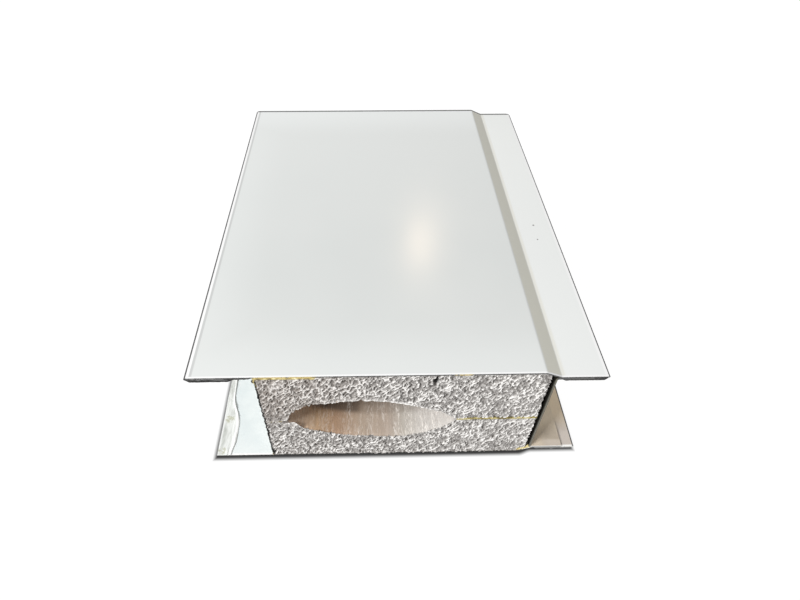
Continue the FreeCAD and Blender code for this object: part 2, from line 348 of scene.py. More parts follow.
class Board:
    """Outline of one foam board: its sides in x, and its lower and upper edge over x."""

    def __init__(self, node, is_upper, seed):
        low, high = box_mm(node)
        self.left, self.right = low[0], high[0]
        self.front, self.back = low[1], high[1]
        self.bottom, self.top = low[2], high[2]
        self.is_upper = is_upper
        self.seed = seed
        self.left_tip = box_mm("glue_joint_left")[1][0]
        self.right_tip = box_mm("glue_joint_right")[0][0]
        glue_low, glue_high = box_mm("glue_top" if is_upper else "glue_bottom")
        self.corner_drop = (self.top - glue_low[2]) if is_upper else (
            glue_high[2] - self.bottom)

    def corner(self, x):
        """How far the corner under the skin's step is cut back at x."""
        share = np.clip((x - RAMP_START) / (self.right - RAMP_START), 0.0, 1.0)
        return share * self.corner_drop

    def lower_edge(self, x):
        if self.is_upper:
            return groove(x, self.bottom, UPPER_CROWN_X, UPPER_RISE,
                          self.left_tip, self.right_tip)
        return self.bottom + self.corner(x)

    def upper_edge(self, x):
        if self.is_upper:
            return self.top - self.corner(x)
        return groove(x, self.top, LOWER_CROWN_X, LOWER_RISE,
                      self.left_tip, self.right_tip)

    def edges(self, x):
        return self.lower_edge(x), self.upper_edge(x)

    def duct_wall(self, points):
        """1 for ring points on the wall of the duct, 0 for the rest."""
        x, z = points[:, 0], points[:, 2]
        wall = self.lower_edge(x) if self.is_upper else self.upper_edge(x)
        past_tip = smoothstep(-40.2, -38.4, x)
        return (np.abs(z - wall) < 2.6) * self.in_duct(x) * past_tip

    def in_duct(self, x):
        """1 over the duct, 0 beside it."""
        edge = 1.5
        return smoothstep(self.left_tip, self.left_tip + edge, x) * fall_off(
            self.right_tip - edge, self.right_tip, x)


def duct_bites(board, x, at_front):
    """How far a sawn rim of the duct is broken away, over x; less than 0 hangs over it.

    The front's own faults are a ledge, a notch and an overhang of the upper board, and
    crumbs of both boards that close the duct's narrow end.
    """
    seed = board.seed
    coarse = np.maximum(layered_noise(x / 4.2, 0.37, seed, 3) + 0.15, 0.0)
    fine = np.maximum(layered_noise(x / 1.1, 3.7, seed + 5, 3) + 0.25, 0.0)
    bites = 0.45 * coarse + 0.40 * fine
    if at_front and board.is_upper:
        ledge = hump(x, LEDGE_X, 5.8)
        notch = hump(x, NOTCH_X, 0.7)
        overhang = window(x, OVERHANG_FROM, OVERHANG_TO, 4)
        bites = 0.7 * bites + 1.5 * ledge + 0.9 * notch - 0.75 * overhang
        plug = fall_off(*UPPER_PLUG, x)
        bites = bites * (1 - plug) - plug * (board.lower_edge(x) - board.bottom)
    elif at_front:
        bites = bites + 0.25
        plug = fall_off(*LOWER_PLUG, x)
        bites = bites - plug * (board.top - board.upper_edge(x) + bites)
    return bites * board.in_duct(x)


def edge_crumbs(along, seed, size):
    """Small losses along a straight arris."""
    rough = layered_noise(along / 0.9, 1.3, seed, 3)
    return size * np.maximum(rough + 0.45, 0.0)


def glue_room(x):
    """Depth that the upper board's arris gives way to the squeezed-out glue."""
    return 1.05 * fall_off(-29, -25.5, x)


def foot_room(x):
    """The same for the lower board, at the corner by the channel."""
    return 0.6 * smoothstep(46.5, 48.5, x)


def ragged_outline(board, u, v, seed):
    """Places at shares u and v of a sawn face: x, and what its four sides lose there."""
    x = board.left + u * (board.right - board.left)
    low, high = board.edges(x)
    z = low + v * (high - low)
    left_loss = edge_crumbs(z, seed + 11, 0.35)
    right_loss = edge_crumbs(z, seed + 12, 0.55)
    low_loss = edge_crumbs(x, seed + 13, 0.16)
    high_loss = edge_crumbs(x, seed + 14, 0.16)
    bites = duct_bites(board, x, seed == board.seed)
    if board.is_upper:
        low_loss = low_loss + bites
        low_loss = low_loss + 0.6 * smoothstep(board.right_tip, board.right_tip + 1, x)
        high_loss = high_loss + glue_room(x)
    else:
        high_loss = high_loss + bites
        low_loss = low_loss + foot_room(x)
    return x, left_loss, right_loss, low_loss, high_loss


def sawn_depth(board, x, z, seed):
    """Depth of the broken cells below the saw plane, and how much of a pit each point is.

    Long torn ridges run up to the right, with small crumbs and a few round beads between.
    """
    wide, tall = x / CELL_SIZE, z / (CELL_TALL * CELL_SIZE)
    along = wide * math.cos(CELL_TURN) + tall * math.sin(CELL_TURN)
    across = tall * math.cos(CELL_TURN) - wide * math.sin(CELL_TURN)
    wander = 0.55
    along = along + wander * layered_noise(along * 0.6, across * 0.6, seed + 1, 3)
    across = across + wander * layered_noise(along * 0.6 + 9, across * 0.6, seed + 2, 3)
    nearest, second, tone = cells(along / 2.0, across, seed + 3)
    strength = 0.62 + 0.8 * layered_noise(along * 0.55, across * 0.8, seed + 4, 2)
    ridge = fall_off(0.02, 0.36, second - nearest) * np.clip(strength, 0, 1)
    small_near, small_second, small_tone = cells(along * 0.95, across * 1.45, seed + 5)
    broken = 0.52 + 0.9 * layered_noise(along * 0.9, across * 1.1, seed + 7, 2)
    crumb = fall_off(0.0, 0.50, small_second - small_near) * np.clip(broken, 0, 1)
    grit = layered_noise(wide * 2.9, tall * 2.9, seed + 6, 2)
    gap = fall_off(0.16, 0.38, small_near) * (small_tone > 0.62)
    bead_near, _, bead_tone = cells(wide / 1.9, tall / 1.9, seed + 9)
    bead = fall_off(0.22, 0.40, bead_near) * (bead_tone > 0.84)
    rough = 1 - 0.8 * bead
    pit = 0.58 + 0.16 * (tone - 0.5) - rough * (0.62 * ridge + 0.48 * crumb + 0.30 * grit)
    pit = np.clip(pit + 0.40 * gap * rough * (1 - ridge), 0.0, 1.0)
    swell = rise_noise(x / 6, z / 6, seed + 12, 3)
    depth = CELL_DEPTH * pit + 0.15 * swell + 0.30 * bead
    return depth, pit


def deep_hole(x, z):
    """1 inside the one deep hole of the sawn front, 0 outside it."""
    reach = np.hypot((x - HOLE_X) / HOLE_ACROSS, (z - HOLE_Z) / HOLE_UP)
    return fall_off(0.85, 1.10, reach)


def sawn_face(board, columns, rows, y_plane, inward, seed):
    """Points of one sawn end, with its pits, the dark stripe down its socket side and the deep
    hole's painted shade.
    """
    u, v = shares(columns, rows)
    x, left, right, low_loss, high_loss = ragged_outline(board, u, v, seed)
    x = x + left * (1 - u) - right * u
    low, high = board.edges(x)
    z = low + low_loss + v * (high - high_loss - low - low_loss)
    depth, pit = sawn_depth(board, x, z, seed)
    inner, outer = (z - low, high - z) if board.is_upper else (high - z, z - low)
    depth = depth * (0.2 + 0.8 * smoothstep(0.0, 0.9, outer))
    rim = np.minimum.reduce([x - board.left, board.right - x, inner])
    crumble = np.exp(-np.maximum(rim, 0) / 0.45)
    pit = pit * (1 - 0.7 * np.exp(-np.maximum(inner, 0) / 0.5) * board.in_duct(x))
    grit = rise_noise(x / 0.8, z / 0.8, seed + 20, 2)
    depth = depth * (1 - 0.6 * crumble) + 0.15 * crumble * grit
    stripe = 0.42 + 0.22 * layered_noise(z / 2.2, 0.5, seed + 23, 3)
    for level, extra in STRIPE_BULGES:
        stripe = stripe + extra * hump(z, level, 1.3)
    dark_stripe_and_hole_shade = fall_off(0.0, 0.25, u * (board.right - board.left) - stripe)
    if inward > 0:
        hole = deep_hole(x, z)
        depth = depth + HOLE_DEPTH * hole
        # Painted shade: the deep hole is coloured near black.
        dark_stripe_and_hole_shade = np.maximum(dark_stripe_and_hole_shade, hole)
    points = as_points(x, y_plane + inward * depth, z)
    return points.reshape(-1, 3), pit.ravel(), dark_stripe_and_hole_shade.ravel()


def body_ring(board, columns, rows, y, seed, front_loss):
    """Rim points of the board's outline at y; front_loss fades the ragged rim in."""
    order = rim_of_grid(columns, rows)
    u, v = (share.ravel()[order] for share in shares(columns, rows))
    x, left, right, low_loss, high_loss = ragged_outline(board, u, v, seed)
    streak = 0.16 * rise_noise(x / 1.3, y / 60, 41, 3)
    streak = streak + 0.35 * rise_noise(x / 9, y / 35, 43, 2)
    streak = streak * board.in_duct(x)
    low, high = board.edges(x)
    z = low + v * (high - low)
    skin = 0.20 * rise_noise(z / 1.6, y / 1.9, 47, 3)
    x = x + (left * front_loss + skin) * (1 - u) * (u < 0.5) - (
        right * front_loss + skin) * u * (u > 0.5)
    low, high = board.edges(x)
    low_loss, high_loss = low_loss * front_loss, high_loss * front_loss
    if board.is_upper:
        low_loss = low_loss + streak
    else:
        high_loss = high_loss + streak
    return as_points(x, y, low + low_loss + v * (high - high_loss - low - low_loss))


def make_board(name, board, material, node):
    """Closed foam board: a fine sawn front, rings along the length and a sawn back."""
    width = board.right - board.left
    height = board.top - board.bottom
    fine = (round(width / FRONT_STEP), round(height / FRONT_STEP))
    coarse = (round(width / BACK_STEP), round(height / BACK_STEP))
    front, *front_tones = sawn_face(board, *fine, board.front, 1, board.seed)
    back, *back_tones = sawn_face(board, *coarse, board.back, -1, board.seed + 100)
    layers = []
    total = 0

    def add(points, pit=0.25, dark_stripe_and_hole_shade=0.0, duct_wall=0.0):
        """Keep points and their three tones; the answer is the points' indices."""
        nonlocal total
        tones = [np.broadcast_to(tone, len(points)) for tone in (pit, dark_stripe_and_hole_shade, duct_wall)]
        layers.append(np.column_stack([points, *tones]))
        first, total = total, total + len(points)
        return range(first, total)

    add(front, *front_tones)
    faces = grid_faces(*fine)
    ring = rim_of_grid(*fine)
    for back_off in RIM_STATIONS:
        points = body_ring(board, *fine, board.front + back_off, board.seed,
                           math.exp(-back_off))
        points[:, 1] = np.maximum(points[:, 1], front[rim_of_grid(*fine), 1] + 0.5 * back_off)
        next_ring = add(points, duct_wall=board.duct_wall(points))
        faces += ring_faces(ring, next_ring)
        ring = next_ring
    stations = np.concatenate([
        board.front + np.array(NEAR_STATIONS),
        np.linspace(board.front + 42, board.back - 12, 14),
        board.back - np.array(BACK_STATIONS)])
    for y in stations:
        loss = math.exp(-min(y - board.front, board.back - y))
        points = body_ring(board, *coarse, y, board.seed + 100, loss)
        next_ring = add(points, duct_wall=board.duct_wall(points))
        if len(ring) == len(next_ring):
            faces += ring_faces(ring, next_ring)
        else:
            faces += zip_rings(ring, fine * 2, next_ring, coarse * 2)
        ring = next_ring
    back_first = add(back, *back_tones)[0]
    faces += ring_faces(ring, [back_first + i for i in rim_of_grid(*coarse)])
    faces += grid_faces(*coarse, back_first)
    data = np.concatenate(layers)
    item = mesh_object(name, data[:, :3], faces, smooth_angle=62)
    for tone, values in zip(("pit", "dark_stripe_and_hole_shade", "duct_wall"), data[:, 3:].T):
        store_attribute(item, tone, values)
    return put_on(item, material, "foam", node)


# ---------------- saw burrs, which also stand in for shadow

def make_burr_and_shadow(name, material, start, end, root, tip, seed):
    """Ragged strip of torn steel that the saw left along a sheet's front edge; dark, it also
    stands in for the shadow under that edge.

    root(x) is the level that it hangs from and tip(x) is about how far down it reaches.
    """
    x = np.arange(start, end, 0.22)
    ragged = layered_noise(x / 2.4, 0.5, seed, 3)
    frayed = layered_noise(x / 0.6, 1.5, seed + 5, 2)
    taper = np.minimum(smoothstep(start - 0.1, start + 1.2, x),
                       fall_off(end - 1.2, end + 0.1, x))
    top = root(x)
    drop = np.maximum(top - tip(x) + 0.22 * ragged + 0.10 * frayed, 0.05)
    bottom = top - drop * (0.25 + 0.75 * taper)
    near = front_cut + 0.03 + 0.05 * (1 + ragged)
    strip = section_rings(x, [
        (front_cut + 0.02, top), (front_cut + 0.22, top),
        (near + 0.14, bottom), (near, bottom)])
    return put_on(loft(name, strip, 30), material, "white_paint")


def make_burrs_and_shadows(material):
    """Burrs, which also stand in for the shadow under the lips, under the top skin's two lips
    and under the raised lower lip.
    """
    top_low, top_high = box_mm("top_skin")
    hem_end = top_low[0] + HEM_WIDTH
    lip_under = top_high[2] - lip_step - sheet_gauge
    flange_low, flange_high = box_mm("edge_channel")
    flange_under = flange_high[2] - CHANNEL_GAUGE

    def hem_root(x):
        return np.where(x < hem_end, top_high[2] - HEM_DEPTH, top_high[2] - sheet_gauge)

    # Longer under the outer part of the hem, where the burr stands in for the shadow below the
    # lip.
    def hem_tip(x):
        outer = fall_off(-56.5, -53.5, x)
        return top_high[2] - 1.15 * (1 + outer)

    def lip_root(x):
        return np.where(x < flange_high[0], flange_under, lip_under) + 0.02

    def lip_tip(x):
        return flange_under - 0.75 + 0.0 * x

    def foot_root(x):
        return flange_low[2] - sheet_gauge + 0.02 + 0.0 * x

    def foot_tip(x):
        return foot_root(x) - (0.80 + 0.70 * hump(x, 61.6, 0.6))

    for name, start, end, root, tip, seed in (
            ("burr_and_shadow_upper_left", top_low[0] + 0.5, -48.3, hem_root, hem_tip, 131),
            ("burr_and_shadow_upper_right", 54.6, top_high[0] - 0.3, lip_root, lip_tip, 137),
            ("burr_and_shadow_lower_right", 54.4, top_high[0] - 0.5, foot_root, foot_tip, 139)):
        make_burr_and_shadow(name, material, start, end, root, tip, seed)


# ---------------- glue

def glue_ribbon(name, node, material, level, gauge, shows, bead, grows, seed):
    """Cured glue layer over a node's length, with a ragged front that shows in places.

    level(x) is the face that the glue lies against, grows is -1 below it and +1 above it,
    shows(x) is 1 where the front reaches the saw cut and bead(x) is its extra thickness.
    """
    low, high = box_mm(node)
    x = np.arange(low[0], high[0], 0.3)
    x = np.append(x, high[0])
    rough = rise_noise(x / 1.6, 0.5, seed, 3)
    fine = rise_noise(x / 0.7, 2.5, seed + 3, 2)
    shown = shows(x)
    near = low[1] + 0.02 + 0.10 * fine + (1 - shown) * (1.0 + 1.2 * rough)
    thick = gauge * (0.85 + 0.3 * rough) + bead(x) * (0.7 + 0.6 * fine) * shown
    far = high[1] - (0.3 + 0.9 * rough)
    base = level(x)
    fat, thin = grows * thick, grows * gauge
    layer = section_rings(x, [
        (near + 0.12, base), (near, base + 0.35 * fat),
        (near + 0.05, base + 0.75 * fat), (near + 0.30, base + fat),
        (near + 0.9, base + 0.8 * fat + 0.2 * thin),
        (near + 2.2, base + thin), (far, base + thin), (far, base)])
    return put_on(loft(name, layer), material, "glue", node)


def make_glue(material):
    """The four glue layers, and the runs of glue that stand out at two corners."""
    top_low, top_high = box_mm("glue_top")
    foot_low, _ = box_mm("glue_bottom")
    joint_low, joint_high = box_mm("glue_joint_right")
    gauge = joint_high[2] - joint_low[2]
    step = top_high[2] - gauge - top_low[2]
    ramp_end = top_high[0]

    def fall(x):
        return step * np.clip((x - RAMP_START) / (ramp_end - RAMP_START), 0.0, 1.0)

    def none(x):
        return np.zeros(np.shape(x))

    def top_shows(x):
        bead = fall_off(BEAD_END_X - 1.5, BEAD_END_X + 0.5, x)
        return np.maximum(bead, window(x, 18.4, 24.0, 0.5))

    def top_bead(x):
        lump = hump(x, -29.0, 1.4)
        start = smoothstep(-48.6, -46.5, x)
        return (0.90 + 0.35 * lump + 0.15 * start) * (x < -20)

    def foot_shows(x):
        corner = smoothstep(46.9, 48.2, x)
        return np.maximum(corner, fall_off(-47.6, -46.6, x))

    def foot_bead(x):
        return 0.85 * smoothstep(46.8, 50.5, x)

    def joint_shows(x):
        return smoothstep(-0.55, -0.25, layered_noise(x / 2.6, 5.5, 71, 3))

    def joint_bead(x):
        return 0.80 * (0.6 + 0.4 * layered_noise(x / 1.9, 8.5, 73, 2))

    def left_joint_shows(x):
        return 0.8 * joint_shows(x + 3.0)

    def joint_level(x):
        return joint_low[2] + none(x)

    for name, node, level, shows, bead, grows, seed in (
            ("glue_under_top_skin", "glue_top", lambda x: top_high[2] - fall(x),
             top_shows, top_bead, -1, 51),
            ("glue_on_bottom_skin", "glue_bottom", lambda x: foot_low[2] + fall(x),
             foot_shows, foot_bead, 1, 57),
            ("glue_between_boards_right", "glue_joint_right", joint_level,
             joint_shows, joint_bead, 1, 61),
            ("glue_between_boards_left", "glue_joint_left", joint_level,
             left_joint_shows, none, 1, 67)):
        glue_ribbon(name, node, material, level, gauge, shows, bead, grows, seed)
    make_corner_run(material, top_low, top_high)
    make_foot_run(material, foot_low)


def make_corner_run(material, top_low, top_high):
    """Glue that ran down the upper left arris of the sawn face."""
    around = np.linspace(0, 2 * math.pi, 10, endpoint=False)
    length = 5.2
    rings = []
    for fallen in np.linspace(0.0, length, 27):
        share = 1 - fallen / length
        wobble = 0.12 * layered_noise(fallen / 1.1, 0.3, 83, 2)
        drip = hump(fallen, 2.6, 0.55)
        centre = top_low[0] + 0.35 + 0.05 * fallen + wobble - 0.65 * drip
        half = 0.16 + 0.34 * share ** 0.7 + 0.2 * drip
        near = top_low[1] + 0.06 + 0.25 * (1 - share)
        rings.append(as_points(centre + half * np.cos(around),
                               near + 0.6 + 0.6 * np.sin(around),
                               top_high[2] - 0.05 - fallen))
    put_on(loft("glue_corner_run", rings), material, "glue")


def make_foot_run(material, foot_low):
    """Glue that squeezed out past the lower right corner, up against the channel."""
    around = np.linspace(0, 2 * math.pi, 10, endpoint=False)
    channel_low, _ = box_mm("edge_channel")
    start, end = 50.2, channel_low[0] + 1.3
    rings = []
    for x in np.linspace(start, end, 23):
        share = (x - start) / (end - start)
        skin = foot_low[2] + lip_step * np.clip(
            (x - RAMP_START) / (RAMP_END - RAMP_START), 0, 1)
        wobble = 0.15 * layered_noise(x / 0.8, 0.7, 89, 2)
        high = 0.75 + 0.35 * math.sin(math.pi * share) + wobble
        half = 0.45 * high * (0.25 + 0.75 * fall_off(0.72, 1.0, share))
        rings.append(as_points(x, foot_low[1] + 0.72 + 0.68 * np.cos(around),
                               skin + half * (1 + np.sin(around))))
    put_on(loft("glue_foot_run", rings), material, "glue")


# ---------------- protective film

def film_edge(y, start):
    """Wavy inner edge of the torn film, over the panel's length."""
    run = y - start
    bulge = smoothstep(0.0, 6, run) - 0.2 - 3.9 * smoothstep(14, 28, run)
    waves = 1.3 * np.sin(run / 7.6 + 0.5) + 0.9 * np.sin(run / 17 + 2.2)
    beyond = (2.4 + waves) * smoothstep(36, 60, run)
    rough = 0.35 * layered_noise(run / 9, 0.2, 91, 3)
    return bulge + beyond + rough


def make_film(material):
    """Crumpled end of the film: a thin sheet with a lifted, curled inner edge."""
    low, high = box_mm("film_lap")
    sheet = 0.07
    across = 22
    y = np.append(np.arange(low[1], high[1], 0.6), high[1])
    y, share = np.meshgrid(y, np.linspace(0, 1, across + 1), indexing="ij")
    x = low[0] + 0.02 + share * (high[0] - low[0] + film_edge(y, low[1]))
    crease = layered_noise(x / 1.5, y / 11, 93, 3)
    crumple = layered_noise(x / 2.2, y / 3.4, 97, 3)
    ridge = np.maximum(0.55 * crease + 0.30 * crumple, 0.0)
    curl = hump(share, 0.93, 0.07)
    lift = smoothstep(0.0, 0.12, share)
    lower = low[2] + 0.05 + lift * (0.9 * ridge + 0.32 * curl)
    top = as_points(x, y, lower + sheet).reshape(-1, 3)
    under = as_points(x, y, lower).reshape(-1, 3)
    rows = len(y) - 1
    faces = grid_faces(across, rows) + grid_faces(across, rows, len(top))
    rim = rim_of_grid(across, rows)
    faces += ring_faces(rim, [len(top) + i for i in rim])
    item = mesh_object("torn_film", np.concatenate([top, under]), faces, 60)
    bead = np.maximum(smoothstep(0.74, 0.86, share), smoothstep(0.2, 0.05, share))
    store_attribute(item, "bead", np.tile(bead.ravel(), 2))
    return put_on(item, material, "film", "film_lap")


# ---------------- materials

class Coat:
    """A procedural material under construction, with short calls for its nodes.

    Calls return an output socket; operands are sockets, numbers or colour triples. colour
    is what the coat has so far.
    """

    def __init__(self, name):
        self.material = bpy.data.materials.new(name)
        self.material.use_nodes = True
        tree = self.material.node_tree
        self.nodes, self.link = tree.nodes, tree.links.new
        self.shader = tree.nodes["Principled BSDF"]
        self.place = self.nodes.new("ShaderNodeTexCoord").outputs["Object"]
        split = self.nodes.new("ShaderNodeSeparateXYZ")
        self.link(self.place, split.inputs[0])
        self.axes = dict(zip("xyz", split.outputs))
        self.colour = None

    def feed(self, operand, socket):
        """Link a socket to an input, or set the input to a number or colour."""
        if isinstance(operand, (int, float)):
            socket.default_value = operand
        elif isinstance(operand, tuple):
            socket.default_value = (*operand, 1.0)
        else:
            self.link(operand, socket)

    def noise(self, scale, detail=3.0, roughness=0.55, stretch=(1, 1, 1), curl=0.0):
        """Noise from about 0.25 to 0.75; stretch scales the coordinates, curl bends it."""
        mapping = self.nodes.new("ShaderNodeMapping")
        mapping.inputs["Scale"].default_value = stretch
        self.link(self.place, mapping.inputs["Vector"])
        noise = self.nodes.new("ShaderNodeTexNoise")
        noise.inputs["Scale"].default_value = scale
        noise.inputs["Detail"].default_value = detail
        noise.inputs["Roughness"].default_value = roughness
        noise.inputs["Distortion"].default_value = curl
        self.link(mapping.outputs["Vector"], noise.inputs["Vector"])
        return noise.outputs["Fac"]

    def ramp(self, factor, *stops):
        """Colour over a factor, through (position, colour) stops."""
        ramp = self.nodes.new("ShaderNodeValToRGB")
        elements = ramp.color_ramp.elements
        while len(elements) < len(stops):
            elements.new(0.5)
        for element, (position, colour) in zip(elements, stops):
            element.position = position
            element.color = (*colour, 1.0)
        self.link(factor, ramp.inputs["Fac"])
        return ramp.outputs["Color"]

    def math(self, operation, *operands):
        """Math node."""
        node = self.nodes.new("ShaderNodeMath")
        node.operation = operation
        for operand, socket in zip(operands, node.inputs):
            self.feed(operand, socket)
        return node.outputs[0]

    def scaled(self, value, low, high, to_low=0.0, to_high=1.0):
        """Smooth change from to_low at low to to_high at high, held outside."""
        node = self.nodes.new("ShaderNodeMapRange")
        node.interpolation_type = "SMOOTHSTEP"
        for name, number in (("From Min", low), ("From Max", high),
                             ("To Min", to_low), ("To Max", to_high)):
            node.inputs[name].default_value = number
        self.link(value, node.inputs["Value"])
        return node.outputs["Result"]

    def over(self, axis, low, high, to_low=0.0, to_high=1.0):
        """The same along an axis."""
        return self.scaled(self.axes[axis], low * MM, high * MM, to_low, to_high)

    def band(self, axis, low, high, soft, share=1.0):
        """share between low and high, 0 outside, with flanks of half-width soft."""
        return self.both(self.over(axis, low - soft, low + soft, 0.0, share),
                         self.over(axis, high - soft, high + soft, 1.0, 0.0))

    def at_cut(self, near=0.01, far=0.05):
        """1 at the front saw cut, 0 from far behind it."""
        return self.over("y", front_cut + near, front_cut + far, 1.0, 0.0)

    def both(self, first, second):
        """Product of two masks."""
        return self.math("MULTIPLY", first, second)

    def either(self, first, second):
        """The larger of two masks."""
        return self.math("MAXIMUM", first, second)

    def mix(self, factor, first, second):
        """Colour mix: first where the factor is 0, second where it is 1."""
        mix = self.nodes.new("ShaderNodeMix")
        mix.data_type = "RGBA"
        for operand, number in ((factor, 0), (first, 6), (second, 7)):
            self.feed(operand, mix.inputs[number])
        return mix.outputs[2]

    def cover(self, mask, tint):
        """Lay a colour over the coat where the mask is 1."""
        self.colour = self.mix(mask, self.colour, tint)

    def stripe(self, low, high, soft, share, tint):
        """Lay a colour over a strip between two places in x."""
        self.cover(self.band("x", low, high, soft, share), tint)

    def spot(self, x, y, z, radius, share):
        """share inside a ball round a point, 0 outside, with a soft rim."""
        apart = self.nodes.new("ShaderNodeVectorMath")
        apart.operation = "DISTANCE"
        self.link(self.place, apart.inputs[0])
        apart.inputs[1].default_value = (x * MM, y * MM, z * MM)
        radius = radius * MM
        return self.scaled(apart.outputs["Value"], 0.7 * radius, 1.3 * radius, share, 0.0)

    def attribute(self, name):
        """A number stored on the mesh."""
        node = self.nodes.new("ShaderNodeAttribute")
        node.attribute_name = name
        return node.outputs["Fac"]

    def bump(self, height, strength, distance):
        """Tilt the shading normal by a height, over a distance in millimetres."""
        node = self.nodes.new("ShaderNodeBump")
        node.inputs["Strength"].default_value = strength
        node.inputs["Distance"].default_value = distance * MM
        self.link(height, node.inputs["Height"])
        self.link(node.outputs["Normal"], self.shader.inputs["Normal"])

    def finish(self, roughness, **inputs):
        """Set the shader's colour, roughness and further inputs by name."""
        self.feed(self.colour, self.shader.inputs["Base Color"])
        self.feed(roughness, self.shader.inputs["Roughness"])
        for name, value in inputs.items():
            self.feed(value, self.shader.inputs[name.replace("_", " ")])
        return self.material


STEEL_DARK = (0.016, 0.016, 0.015)
STEEL_GREY = (0.095, 0.095, 0.090)
NEAR_BLACK = (0.012, 0.011, 0.009)
# Grey of the painted shadow lines along the skins' slit edges.
SHADOW_LINE = (0.05, 0.05, 0.05)


def side_shadow_lines(coat, low, high, left, right):
    """Thin painted shadow lines along a skin's slit edges, each fading between two distances.
    """
    lines = coat.either(coat.over("x", low[0] + left[0], low[0] + left[1], 0.95, 0.0),
                        coat.over("x", high[0] - right[0], high[0] - right[1], 0.0, 0.95))
    coat.cover(lines, SHADOW_LINE)


def sawn_edge(coat, glue_spots=()):
    """Bare dark steel where the saw went through a sheet."""
    grain = coat.noise(900.0, 2.0, stretch=(1.0, 1.0, 0.2))
    steel = coat.ramp(grain, (0.42, STEEL_DARK), (0.66, STEEL_GREY))
    front = coat.at_cut()
    coat.cover(coat.either(front, coat.over("y", -front_cut - 0.05, -front_cut - 0.01)), steel)
    for low, high in glue_spots:
        patches = coat.scaled(coat.noise(700.0, 2.0), 0.38, 0.46)
        amber = coat.both(coat.both(front, coat.band("x", low, high, 0.8)), patches)
        coat.cover(amber, (0.55, 0.43, 0.16))


def top_paint():
    """White prepainted sheet of the top skin: gloss paint, slit and sawn edges, flecks."""
    coat = Coat("white_paint_top")
    low, high = box_mm("top_skin")
    cloud = coat.noise(11.0)
    coat.colour = coat.ramp(cloud, (0.35, (0.700, 0.722, 0.710)),
                            (0.65, (0.730, 0.748, 0.735)))
    # Painted reflection: the paint is paler towards the back, and paler still near the front,
    # left and far edges.
    rearward = coat.over("y", -50.0, 90.0)
    coat.cover(rearward, (0.800, 0.820, 0.808))
    pale = coat.either(coat.over("y", low[1], low[1] + 26.0, 0.34, 0.0),
                       coat.over("x", low[0], low[0] + 24.0, 0.24, 0.0))
    pale = coat.either(pale, coat.over("y", high[1] - 30.0, high[1], 0.0, 0.75))
    coat.cover(pale, (0.90, 0.925, 0.918))
    # Painted reflection: the lip beyond the step is paler, more so towards the back.
    lip_reflection = coat.mix(rearward, (0.855, 0.872, 0.860), (0.92, 0.938, 0.92))
    coat.cover(coat.over("x", RAMP_END - 0.1, RAMP_END + 0.5), lip_reflection)
    # Painted warm reflection at the foot of the step, painted shade on the step, painted shade
    # in the crease of the hem, a painted highlight on its bend, and a painted highlight on the
    # lip's rim.
    coat.stripe(RAMP_END, RAMP_END + 1.2, 0.6, 0.35, (0.70, 0.66, 0.52))
    coat.stripe(RAMP_START + 0.4, RAMP_END - 0.1, 0.35, 0.9, (0.735, 0.722, 0.632))
    coat.stripe(low[0] + 1.6, low[0] + 2.5, 0.2, 0.45, (0.42, 0.42, 0.42))
    coat.stripe(low[0] + 0.3, low[0] + 1.6, 0.12, 1.0, (0.96, 0.96, 0.96))
    coat.stripe(high[0] - 1.3, high[0] - 0.35, 0.15, 0.9, (0.93, 0.93, 0.93))
    # Painted highlight along the sawn front edge, and a painted shadow line along the far edge.
    coat.cover(coat.at_cut(0.55, 0.85), (0.95, 0.95, 0.95))
    coat.cover(coat.over("y", high[1] - 1.6, high[1] - 1.0, 0.0, 0.9), (0.11, 0.11, 0.11))
    # Painted shadow lines along the slit edges.
    side_shadow_lines(coat, low, high, (0.58, 0.80), (0.46, 0.32))
    for x, y, radius in ((61.9, -9.8, 0.42), (61.6, -19.3, 0.34)):
        fleck = coat.spot(x, y, high[2] - lip_step, radius, 0.8)
        coat.cover(fleck, (0.12, 0.11, 0.10))
    sawn_edge(coat, ((-47.5, -27.5), (18.5, 24.0)))
    coat.bump(coat.noise(650.0, 2.0), 0.03, 0.2)
    return coat.finish(coat.scaled(cloud, 0.3, 0.7, 0.17, 0.22))


